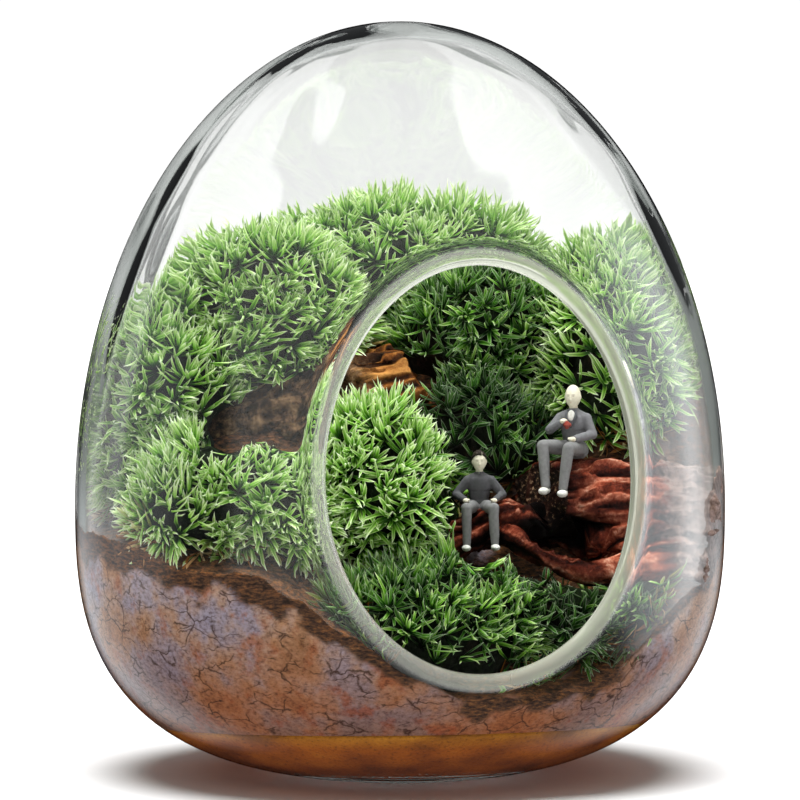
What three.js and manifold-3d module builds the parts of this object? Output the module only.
// An egg-shaped glass plant terrarium with an oval side mouth. Inside lie ochre sand and dark soil
// banked up towards the back, two pieces of driftwood, cushions of star moss and two small seated
// figurines. Millimetres, +Z up. The origin is the centre of the jar's foot, and the mouth faces -Y.
import * as THREE from "three";
import { ConvexHull } from "three/addons/math/ConvexHull.js";
import { mergeVertices } from "three/addons/utils/BufferGeometryUtils.js";
import Module from "manifold-3d";

const wasm = await Module();
wasm.setup();

// Jar
const JAR_RADIUS = 100; // at the widest ring
const JAR_HEIGHT = 231;
const WIDEST_Z = 82.5;
const LOWER_REACH = 83.5; // full depth of the rounded underside, which the foot cuts flat
const LOWER_POWER = 2.76; // above 2, the underside is fuller than an ellipse
const WALL = 3.2;
const FLOOR = 4;
const FLOOR_REACH = 79.3; // as LOWER_REACH, on the inside
const MOUTH = { halfWidth: 49, halfHeight: 61.9, centreZ: 98.8, lean: 0.043 };
const BEAD_RADIUS = 2.6; // the fire-polished rim

// How finely round shapes are cut
const SEGMENTS = 40;
const UPPER_STEPS = 7;
const LOWER_STEPS = 6;
const MOUTH_STEPS = 32;
const BEAD_SIDES = 6;
const SOIL_RINGS = 6;
const SOIL_WALL_ROWS = 4;
const SAND_WALL_ROWS = 2;
const WOOD_SIDES = 9;
const WOOD_STEPS = 8;
const BODY_SIDES = 5;
const CLEARING_SIDES = 8;

// Clearances between touching pieces
const GAP = 0.4;
const SOIL_GAP = 0.5; // measured straight up, so it is less across a slope
const BED_GAP = 0.3;
const CUSHION_GAP = 0.3;
const TIP_MARGIN = 0.6; // leaf tips stop this far short of the wall and of the neighbouring moss

// Fill
const SAND_MIDDLE = 18.5;
const SAND_TILT = 0.045; // the sand banks up a little towards the mouth
const SOIL_FRONT = 31;
const SOIL_BACK = 140;
const SLOPE_FROM_Y = -90;
const SLOPE_TO_Y = 38;
const BACK_WALL_Y = 90;
const BACK_FALL = 26;
// Each bump raises or sinks the soil: [x, y, height, spread]
const SOIL_BUMPS = [
  [-68, -84, 34, 40],
  [-92, -5, -20, 25],
  [-96, 28, -48, 32],
  [62, -66, 19, 20],
  [90, -30, 14, 26],
  [70, -4, 24, 26],
];

// Moss cushions: centre and semi-axes of each mound without its leaves
const CUSHIONS = [
  { name: "moss_back_top", at: [9, 40, 149.5], size: [47, 26, 26], spacing: 8.4 },
  { name: "moss_upper_left", at: [-38, 13, 137], size: [31, 23, 26] },
  { name: "moss_left", at: [-73, 12, 109], size: [24, 28, 34], spacing: 7.6 },
  { name: "moss_lower_left", at: [-58, -36, 84], size: [33, 24, 22] },
  { name: "moss_centre", at: [-17, -39, 86], size: [27, 22, 25] },
  { name: "moss_middle", at: [22, -15, 100], size: [25, 16, 20] },
  { name: "moss_front", at: [-8, -67, 50], size: [38, 20, 20] },
  { name: "moss_upper_right", at: [32, 5, 127], size: [33, 22, 27] },
  { name: "moss_right", at: [68, -6, 123], size: [27, 28, 37] },
  { name: "moss_under_log", at: [30, -68, 51], size: [24, 14, 15] },
  { name: "moss_front_right", at: [53, -64, 53], size: [18, 13, 12] },
  { name: "moss_back_left", at: [-40, 55, 112], size: [36, 28, 30], spacing: 9 },
  { name: "moss_back_right", at: [44, 53, 115], size: [36, 28, 30], spacing: 9 },
];
const LEAF = {
  spacing: 7.1, // between the valleys that part the leaves
  height: [6, 9],
  shortening: 0.6, // a leaf without room is cut to this share of its height, step by step
  shortest: 1, // below this a crowded leaf is left out
  upturn: 0.3, // how much the leaves turn up to the light
  sway: 0.5, // how far a tip may stand aside from the middle of its foot
  valleyDepth: [0.5, 2],
};

// Driftwood limbs: [x, y, z, radius] along each limb
const WOOD_ROUGHNESS = 0.2; // of the radius
const BARK_LIMBS = [
  [
    [-58, 6, 104, 7],
    [-44, 1, 108, 9.5],
    [-26, -5, 112, 11.5],
    [-8, -6, 116, 13],
    [3, -5, 118, 11],
    [10, -4, 117, 6],
  ],
];
const LOG_LIMBS = [
  // the trunk, from its sawn left end to the glass
  [
    [29, -41, 83, 11.5],
    [33, -40, 83, 13.5],
    [46, -37, 82, 16.5],
    [62, -38, 81, 17.5],
    [84, -42, 78, 18],
  ],
  // the arm that the left figurine sits on
  [
    [38, -44, 78, 7],
    [24, -47, 81, 6.5],
    [12, -45, 77.5, 5.8],
    [0, -46, 73, 4.8],
    [-5, -46, 70, 2.5],
  ],
  // the root that curls down under the hollow
  [
    [17, -47, 79, 5],
    [21, -53, 75, 4.4],
    [31, -60, 69, 4],
    [44, -61, 64, 5.5],
    [62, -58, 63, 9],
    [76, -54, 65, 9],
  ],
];

// Seated figurines: where each sits, the way it faces (0 looks out of the mouth), its scale, and its
// joints in its own frame, y to its back and z up from the seat. Pairs name the joint at -x first.
const FIGURES = [
  {
    name: "figurine_left",
    seat: [12.4, -43.6, 82.6],
    turn: -15,
    scale: 0.87,
    elbows: [
      [-7.6, -0.6, 7],
      [7.6, -0.6, 7],
    ],
    hands: [
      [-4.8, -8.6, 5.9],
      [4.8, -8.6, 5.9],
    ],
    knees: [
      [-4.3, -10.8, 3],
      [4.3, -10.8, 3],
    ],
    feet: [
      [-4.4, -11.6, -8.6],
      [4.6, -11.6, -8.4],
    ],
  },
  {
    name: "figurine_right",
    seat: [44, -37.5, 99],
    turn: -34,
    scale: 1,
    elbows: [
      [-7.9, -2.6, 8.6],
      [7.6, -0.4, 6.9],
    ],
    hands: [
      [-2, -4.6, 10.6],
      [2.6, -9, 5.6],
    ],
    knees: [
      [-6, -12.6, 3.6],
      [2.4, -13.4, 3.2],
    ],
    feet: [
      [-4.4, -14.6, -8.2],
      [1.2, -15.2, -8.8],
    ],
    flower: [-0.4, -5.2, 9.6],
  },
];
const BODY = {
  torso: [
    [0, 0.2, 1.2, 2.6],
    [0, 0.2, 5.5, 2.7],
    [0, 0.2, 9.5, 3],
    [0, 0, 12.6, 2.6],
    [0, 0, 14, 1.2],
  ],
  torsoStretch: [1.5, 1.05, 1],
  neck: [
    [0, 0, 12.6, 1.7],
    [0, -0.4, 17, 1.3],
  ],
  head: { at: [0, -0.5, 18.4], size: [2.5, 2.9, 3.5] },
  shoulder: [4.6, 0, 12.1],
  hip: [2.2, -0.4, 2.5],
  armRadii: [2.3, 1.9, 1.2],
  legRadii: [2.8, 2.5, 1.7],
  hand: [1.4, 1.8, 1.2],
  shoe: { shift: [0, -0.9, -1.6], size: [1.6, 2.8, 1.3] },
  flower: [1.3, 1.1, 1.2],
};
// The space round a figurine that moss leaves open: [forward, up, radius] from the seat
const CLEARING = [
  [-9, -16, 8.6],
  [-7, 0, 10.8],
  [-1, 8, 11.6],
  [0, 26, 5],
];

// Finishes
const MATERIALS = {
  glass: new THREE.MeshStandardMaterial({
    color: "#dfeae6",
    roughness: 0.05,
    metalness: 0,
    transparent: true,
    opacity: 0.3,
  }),
  sand: new THREE.MeshStandardMaterial({ color: "#b5701f", roughness: 0.95 }),
  soil: new THREE.MeshStandardMaterial({ color: "#6e5140", roughness: 1 }),
  moss: new THREE.MeshStandardMaterial({ color: "#5aa02c", roughness: 0.75 }),
  bark: new THREE.MeshStandardMaterial({ color: "#8a5a30", roughness: 0.9 }),
  driftwood: new THREE.MeshStandardMaterial({ color: "#6b2f20", roughness: 0.85 }),
  figurine: new THREE.MeshStandardMaterial({ color: "#84868a", roughness: 0.6 }),
};

// A small seeded random generator, so that every build is the same
function seededRandom(seed) {
  let state = seed >>> 0;
  return () => {
    state = (state + 0x6d2b79f5) >>> 0;
    let t = state;
    t = Math.imul(t ^ (t >>> 15), t | 1);
    t ^= t + Math.imul(t ^ (t >>> 7), t | 61);
    return ((t ^ (t >>> 14)) >>> 0) / 4294967296;
  };
}

// Solids, made from closed geometry and turned back into it
const WELD = 1e-3;

function solidFrom(geometry) {
  const bare = geometry.clone();
  bare.deleteAttribute("normal");
  bare.deleteAttribute("uv");
  const merged = mergeVertices(bare, WELD);
  const kept = [];
  const index = merged.index.array;
  for (let i = 0; i < index.length; i += 3) {
    const [a, b, c] = [index[i], index[i + 1], index[i + 2]];
    if (a !== b && b !== c && a !== c) kept.push(a, b, c);
  }
  const make = (triangles) =>
    new wasm.Manifold(
      new wasm.Mesh({
        numProp: 3,
        vertProperties: new Float32Array(merged.attributes.position.array),
        triVerts: new Uint32Array(triangles),
      }),
    );
  const made = make(kept);
  if (made.volume() > 0) return made;
  const turned = [];
  for (let i = 0; i < kept.length; i += 3) turned.push(kept[i], kept[i + 2], kept[i + 1]);
  return make(turned);
}

function geometryFrom(solid) {
  const { vertProperties, triVerts } = solid.getMesh();
  const geometry = new THREE.BufferGeometry();
  geometry.setAttribute("position", new THREE.BufferAttribute(new Float32Array(vertProperties), 3));
  geometry.setIndex(new THREE.BufferAttribute(new Uint32Array(triVerts), 1));
  geometry.computeVertexNormals();
  return geometry;
}

function facetedGeometry(vertices, triangles) {
  const geometry = new THREE.BufferGeometry();
  geometry.setAttribute("position", new THREE.Float32BufferAttribute(vertices.flat(), 3));
  geometry.setIndex(triangles.flat());
  return geometry;
}

function joined(solids) {
  return solids.reduce((whole, next) => whole.add(next));
}

function largestBody(solid) {
  const bodies = solid.decompose();
  return bodies.reduce((best, body) => (body.volume() > best.volume() ? body : best));
}

const terrarium = new THREE.Group();

function addPiece(name, solid, material) {
  const mesh = new THREE.Mesh(geometryFrom(solid), material);
  mesh.name = name;
  terrarium.add(mesh);
}

// Jar: an upper half-ellipse and a fuller lower curve, turned round the axis
function eggProfile(radius, top, lowest, reach) {
  const points = [];
  for (let i = 0; i <= UPPER_STEPS; i++) {
    const t = (Math.PI / 2) * (1 - i / UPPER_STEPS);
    const r = i === 0 ? 0 : radius * Math.cos(t);
    points.push(new THREE.Vector2(r, WIDEST_Z + (top - WIDEST_Z) * Math.sin(t)));
  }
  const footTurn = Math.asin(((WIDEST_Z - lowest) / reach) ** (LOWER_POWER / 2));
  for (let i = 1; i <= LOWER_STEPS; i++) {
    const t = (footTurn * i) / LOWER_STEPS;
    const r = radius * Math.cos(t) ** (2 / LOWER_POWER);
    points.push(new THREE.Vector2(r, WIDEST_Z - reach * Math.sin(t) ** (2 / LOWER_POWER)));
  }
  points.push(new THREE.Vector2(0, lowest));
  return points;
}

function turnedSolid(profile) {
  return solidFrom(new THREE.LatheGeometry(profile, SEGMENTS).rotateX(Math.PI / 2));
}

// The radius of a turned profile at a height, on its straight facets
function radiusOn(profile, z) {
  for (let i = 1; i < profile.length; i++) {
    const [above, below] = [profile[i - 1], profile[i]];
    if (z <= above.y && z >= below.y && above.y > below.y)
      return below.x + ((above.x - below.x) * (z - below.y)) / (above.y - below.y);
  }
  return 0;
}

const outerProfile = eggProfile(JAR_RADIUS, JAR_HEIGHT, 0, LOWER_REACH);
const innerProfile = eggProfile(JAR_RADIUS - WALL, JAR_HEIGHT - WALL, FLOOR, FLOOR_REACH);

// The mouth's outline, seen from the front: an oval a little wider below its middle
const mouthOutline = Array.from({ length: MOUTH_STEPS }, (_, i) => {
  const t = (2 * Math.PI * i) / MOUTH_STEPS;
  const x = MOUTH.halfWidth * Math.cos(t) * (1 - MOUTH.lean * Math.sin(t));
  return new THREE.Vector2(x, MOUTH.centreZ + MOUTH.halfHeight * Math.sin(t));
});

function mouthCutter() {
  const cut = { depth: 2 * JAR_RADIUS, bevelEnabled: false }; // from the axis out through the front
  const outline = new THREE.Shape(mouthOutline);
  return solidFrom(new THREE.ExtrudeGeometry(outline, cut).rotateX(Math.PI / 2));
}

// The rim's bead follows the middle of the wall round the mouth
function rimBead(radius) {
  const path = mouthOutline.map(({ x, y: z }) => {
    const middle = (radiusOn(outerProfile, z) + radiusOn(innerProfile, z)) / 2;
    return new THREE.Vector3(x, -Math.sqrt(middle * middle - x * x), z);
  });
  const ring = new THREE.CatmullRomCurve3(path, true);
  return solidFrom(new THREE.TubeGeometry(ring, MOUTH_STEPS, radius, BEAD_SIDES, true));
}

function glassJar() {
  const shell = turnedSolid(outerProfile).subtract(turnedSolid(innerProfile));
  return shell.subtract(mouthCutter()).add(rimBead(BEAD_RADIUS));
}

// The room inside the jar that its contents stay within
const roomProfile = innerProfile.map((p, i) => {
  const isFloor = i >= innerProfile.length - 2;
  const z = p.y + (isFloor ? BED_GAP : 0) - (i === 0 ? GAP : 0);
  return new THREE.Vector2(Math.max(0, p.x - GAP), z);
});
const floorZ = roomProfile.at(-1).y;
const room = turnedSolid(roomProfile).subtract(rimBead(BEAD_RADIUS + GAP));

// Fill: layers whose rims follow the wall
function soilTop(x, y) {
  const rise = THREE.MathUtils.smoothstep(y, SLOPE_FROM_Y, SLOPE_TO_Y);
  const fall = THREE.MathUtils.clamp((y - SLOPE_TO_Y) / (BACK_WALL_Y - SLOPE_TO_Y), 0, 1);
  let z = SOIL_FRONT + (SOIL_BACK - SOIL_FRONT) * rise - BACK_FALL * fall * fall;
  for (const [bx, by, height, spread] of SOIL_BUMPS)
    z += height * Math.exp(-((x - bx) ** 2 + (y - by) ** 2) / spread ** 2);
  return z;
}

const sandTop = (x, y) => SAND_MIDDLE - SAND_TILT * y;
const soilUnderside = (x, y) => sandTop(x, y) + BED_GAP;

// The height at which a surface meets the wall in one direction, closed in on step by step
const CLOSING_STEPS = 40;

function wallHeight(heightAt, angle) {
  let z = WIDEST_Z;
  for (let i = 0; i < CLOSING_STEPS; i++) {
    const r = radiusOn(roomProfile, z);
    z += (heightAt(r * Math.cos(angle), r * Math.sin(angle)) - z) / 2;
  }
  return z;
}

// A layer between two surfaces. A skirt carries its side straight down outside the wall instead.
function fillLayer(topAt, undersideAt, { rings, wallRows = 0, lift = 0, skirt = 0 }) {
  const vertices = [[0, 0, topAt(0, 0) + lift]];
  const rows = [];
  const angles = Array.from({ length: SEGMENTS }, (_, i) => (2 * Math.PI * i) / SEGMENTS);
  const tops = angles.map((angle) => wallHeight(topAt, angle));
  const feet = angles.map((angle) => wallHeight(undersideAt, angle));
  const addRow = (radiusAndHeight) => {
    rows.push(vertices.length);
    angles.forEach((angle, i) => {
      const [r, z] = radiusAndHeight(angle, i);
      vertices.push([r * Math.cos(angle), r * Math.sin(angle), z]);
    });
  };
  for (let k = 1; k < rings; k++)
    addRow((angle, i) => {
      const r = (radiusOn(roomProfile, tops[i]) * k) / rings;
      return [r, topAt(r * Math.cos(angle), r * Math.sin(angle)) + lift];
    });
  addRow((angle, i) => [radiusOn(roomProfile, tops[i]), tops[i] + lift]);
  if (skirt) {
    addRow((angle, i) => [radiusOn(roomProfile, tops[i]) + skirt, tops[i] + lift]);
    addRow((angle, i) => [radiusOn(roomProfile, tops[i]) + skirt, feet[i]]);
  }
  for (let k = 1; k <= wallRows; k++)
    addRow((angle, i) => {
      const z = THREE.MathUtils.lerp(tops[i], feet[i], k / wallRows);
      return [radiusOn(roomProfile, z), z];
    });
  const last = vertices.length;
  vertices.push([0, 0, undersideAt(0, 0)]);
  const triangles = [];
  for (let i = 0; i < SEGMENTS; i++) {
    const j = (i + 1) % SEGMENTS;
    triangles.push([0, rows[0] + i, rows[0] + j]);
    for (let k = 1; k < rows.length; k++) {
      const [upper, lower] = [rows[k - 1], rows[k]];
      triangles.push([upper + i, lower + i, lower + j], [upper + i, lower + j, upper + j]);
    }
    triangles.push([last, rows.at(-1) + j, rows.at(-1) + i]);
  }
  return solidFrom(facetedGeometry(vertices, triangles));
}

const CUTTER_SKIRT = 12; // carries the cutter well into the wall
const soilCutter = fillLayer(soilTop, soilUnderside, {
  rings: SOIL_RINGS,
  lift: SOIL_GAP,
  skirt: CUTTER_SKIRT,
});

// Limbs: a round section of changing radius along a smooth path, closed by a low cone at both ends
const END_CONE = 0.3; // of the end's radius

function limb(stations, { sides, steps, grow = 0, roughness = 0, random = () => 0.5 }) {
  const path = new THREE.CatmullRomCurve3(stations.map(([x, y, z]) => new THREE.Vector3(x, y, z)));
  const { tangents, normals, binormals } = path.computeFrenetFrames(steps, false);
  const spans = stations.length - 1;
  const vertices = [];
  for (let k = 0; k <= steps; k++) {
    const centre = path.getPoint(k / steps);
    const station = Math.min(Math.floor((k / steps) * spans), spans - 1);
    const share = (k / steps) * spans - station;
    const radius = THREE.MathUtils.lerp(stations[station][3], stations[station + 1][3], share);
    for (let i = 0; i < sides; i++) {
      const angle = (2 * Math.PI * i) / sides;
      const r = radius * (1 + roughness * (random() - 0.5)) + grow;
      const point = centre.clone().addScaledVector(normals[k], Math.cos(angle) * r);
      vertices.push(point.addScaledVector(binormals[k], Math.sin(angle) * r).toArray());
    }
  }
  const [startPole, endPole] = [vertices.length, vertices.length + 1];
  const coneAt = (end, tangent, radius) =>
    path.getPoint(end).addScaledVector(tangent, (END_CONE * radius + grow) * (end ? 1 : -1));
  vertices.push(coneAt(0, tangents[0], stations[0][3]).toArray());
  vertices.push(coneAt(1, tangents[steps], stations[spans][3]).toArray());
  const triangles = [];
  for (let i = 0; i < sides; i++) {
    const j = (i + 1) % sides;
    triangles.push([startPole, j, i]);
    for (let k = 0; k < steps; k++) {
      const [near, far] = [k * sides, (k + 1) * sides];
      triangles.push([near + i, near + j, far + j], [near + i, far + j, far + i]);
    }
    triangles.push([endPole, steps * sides + i, steps * sides + j]);
  }
  return solidFrom(facetedGeometry(vertices, triangles));
}

// Driftwood: rough limbs grown together
function driftwood({ limbs, seed }, grow = 0) {
  const random = seededRandom(seed);
  const shape = { sides: WOOD_SIDES, steps: WOOD_STEPS, roughness: WOOD_ROUGHNESS, grow, random };
  return joined(limbs.map((stations) => limb(stations, shape)));
}

// Figurines: a seated body of limbs, with an egg-shaped head
function ball(centre, size, detail = 0) {
  return solidFrom(new THREE.IcosahedronGeometry(1, detail).scale(...size).translate(...centre));
}

function bentLimb(joints, radii) {
  const stations = joints.map((joint, i) => [...joint, radii[i]]);
  return limb(stations, { sides: BODY_SIDES, steps: stations.length - 1 });
}

function torso() {
  const round = limb(BODY.torso, { sides: BODY_SIDES + 1, steps: BODY.torso.length - 1 });
  return solidFrom(geometryFrom(round).scale(...BODY.torsoStretch));
}

function figurine({ seat, turn, scale, elbows, hands, knees, feet, flower }) {
  const neck = limb(BODY.neck, { sides: BODY_SIDES, steps: 1 });
  const parts = [torso(), neck, ball(BODY.head.at, BODY.head.size, 1)];
  [-1, 1].forEach((side, i) => {
    const mirrored = ([x, y, z]) => [side * x, y, z];
    const shoe = feet[i].map((value, axis) => value + BODY.shoe.shift[axis]);
    parts.push(
      bentLimb([mirrored(BODY.shoulder), elbows[i], hands[i]], BODY.armRadii),
      bentLimb([mirrored(BODY.hip), knees[i], feet[i]], BODY.legRadii),
      ball(hands[i], BODY.hand),
      ball(shoe, BODY.shoe.size),
    );
  });
  if (flower) parts.push(ball(flower, BODY.flower, 1));
  const radians = THREE.MathUtils.degToRad(turn);
  const whole = geometryFrom(joined(parts)).scale(scale, scale, scale);
  return solidFrom(whole.rotateZ(radians).translate(...seat));
}

const clearings = FIGURES.map(({ seat: [x, y, z] }) =>
  CLEARING.map(([forward, up, radius]) => [x, y + forward, z + up, radius]),
);
const clearingSolids = clearings.map((stations) =>
  limb(stations, { sides: CLEARING_SIDES, steps: stations.length - 1 }),
);

function inClearing(point) {
  const nearest = new THREE.Vector3();
  return clearings.some((stations) =>
    stations.slice(1).some(([x, y, z, radius], i) => {
      const [lowX, lowY, lowZ, lowRadius] = stations[i];
      const stretch = new THREE.Line3(new THREE.Vector3(lowX, lowY, lowZ), new THREE.Vector3(x, y, z));
      stretch.closestPointToPoint(point, true, nearest);
      return nearest.distanceTo(point) < Math.max(lowRadius, radius);
    }),
  );
}

// Moss: mounds whose whole surface rises into three-sided pointed leaves

// The planes that part a cushion from its neighbours, each as a normal and an offset
function partings(cushion) {
  const centre = new THREE.Vector3(...cushion.at);
  return CUSHIONS.filter((other) => other !== cushion).map((other) => {
    const away = new THREE.Vector3(...other.at).sub(centre);
    const distance = away.length();
    const towards = away.clone().normalize();
    const reachOf = ([a, b, c]) => 1 / Math.hypot(towards.x / a, towards.y / b, towards.z / c);
    const [own, theirs] = [reachOf(cushion.size), reachOf(other.size)];
    const middle = (distance * own) / (own + theirs) - CUSHION_GAP / 2;
    return { towards, offset: towards.dot(centre) + middle };
  });
}

// Points spread evenly over a sphere, as many as give the spacing on an ellipsoid of that size
const AREA_POWER = 1.6; // for the usual approximation of an ellipsoid's area
const CLOSE_PACKING = Math.sqrt(3) / 2;
const GOLDEN_ANGLE = Math.PI * (3 - Math.sqrt(5));

function spreadOver([a, b, c], spacing, random) {
  const products = [a * b, a * c, b * c].map((product) => product ** AREA_POWER);
  const mean = products.reduce((sum, value) => sum + value) / 3;
  const area = 4 * Math.PI * mean ** (1 / AREA_POWER);
  const count = Math.round(area / (CLOSE_PACKING * spacing * spacing));
  const start = random() * Math.PI * 2;
  return Array.from({ length: count }, (_, i) => {
    const z = 1 - (2 * i + 1) / count;
    const r = Math.sqrt(1 - z * z);
    const angle = start + GOLDEN_ANGLE * i;
    return new THREE.Vector3(r * Math.cos(angle), r * Math.sin(angle), z);
  });
}

function cornersOf(face) {
  const corners = [];
  let edge = face.edge;
  do {
    corners.push(edge.head().point);
    edge = edge.next;
  } while (edge !== face.edge);
  return corners;
}

function leafyMound({ at, size, spacing = LEAF.spacing }, random, isFree) {
  const stretch = new THREE.Vector3(...size);
  const centre = new THREE.Vector3(...at);
  const up = new THREE.Vector3(0, 0, 1);
  const vertices = [];
  const triangles = [];
  const outward = (direction) => direction.clone().divide(stretch).normalize();
  const onMound = (direction) => direction.clone().multiply(stretch).add(centre);
  const between = ([low, high]) => THREE.MathUtils.lerp(low, high, random());
  const addVertex = (point) => vertices.push(point.toArray()) - 1;
  const addTip = (direction, foot) => {
    const way = outward(direction).addScaledVector(up, LEAF.upturn).normalize();
    let height = between(LEAF.height);
    while (height > LEAF.shortest && !isFree(foot.clone().addScaledVector(way, height)))
      height *= LEAF.shortening;
    return addVertex(foot.addScaledVector(way, height > LEAF.shortest ? height : 0));
  };
  const valleys = spreadOver(size, spacing, random);
  const indexOf = new Map();
  for (const valley of valleys) {
    const point = onMound(valley).addScaledVector(outward(valley), -between(LEAF.valleyDepth));
    indexOf.set(valley, addVertex(point));
  }
  for (const face of new ConvexHull().setFromPoints(valleys).faces) {
    const corners = cornersOf(face);
    const middle = corners.reduce((sum, corner) => sum.add(corner), new THREE.Vector3()).normalize();
    const aside = corners[Math.floor(random() * corners.length)];
    const foot = middle.clone().lerp(aside, LEAF.sway * random()).normalize();
    const tip = addTip(middle, onMound(foot));
    corners.forEach((corner, i) => {
      const next = corners[(i + 1) % corners.length];
      triangles.push([indexOf.get(corner), indexOf.get(next), tip]);
    });
  }
  return solidFrom(facetedGeometry(vertices, triangles));
}

function mossCushion(cushion, seed, obstacles) {
  const planes = partings(cushion);
  const isFree = (point) =>
    Math.hypot(point.x, point.y) < radiusOn(roomProfile, point.z) - TIP_MARGIN &&
    planes.every(({ towards, offset }) => towards.dot(point) < offset - TIP_MARGIN) &&
    !inClearing(point);
  let mound = leafyMound(cushion, seededRandom(seed), isFree);
  for (const { towards, offset } of planes)
    mound = mound.trimByPlane(towards.clone().negate().toArray(), -offset);
  for (const obstacle of obstacles) mound = mound.subtract(obstacle);
  return largestBody(mound.subtract(soilCutter).intersect(room));
}

// Assembly
const BARK_SLAB = { limbs: BARK_LIMBS, seed: 11 };
const DRIFTWOOD_LOG = { limbs: LOG_LIMBS, seed: 23 };
const FIRST_MOSS_SEED = 100;

const sand = fillLayer(sandTop, () => floorZ, { rings: 1, wallRows: SAND_WALL_ROWS });
const soil = fillLayer(soilTop, soilUnderside, { rings: SOIL_RINGS, wallRows: SOIL_WALL_ROWS });
const bedded = (wood) => largestBody(wood.subtract(soilCutter).intersect(room));
const logRoom = driftwood(DRIFTWOOD_LOG, GAP);
const obstacles = [driftwood(BARK_SLAB, GAP), logRoom, ...clearingSolids];

addPiece("glass_jar", glassJar(), MATERIALS.glass);
addPiece("sand_bed", sand, MATERIALS.sand);
addPiece("soil_bank", soil, MATERIALS.soil);
addPiece("bark_slab", bedded(driftwood(BARK_SLAB)), MATERIALS.bark);
addPiece("driftwood_log", bedded(driftwood(DRIFTWOOD_LOG)), MATERIALS.driftwood);
for (const figure of FIGURES) {
  addPiece(figure.name, largestBody(figurine(figure).subtract(logRoom)), MATERIALS.figurine);
}
CUSHIONS.forEach((cushion, i) => {
  addPiece(cushion.name, mossCushion(cushion, FIRST_MOSS_SEED + i, obstacles), MATERIALS.moss);
});

export default terrarium;
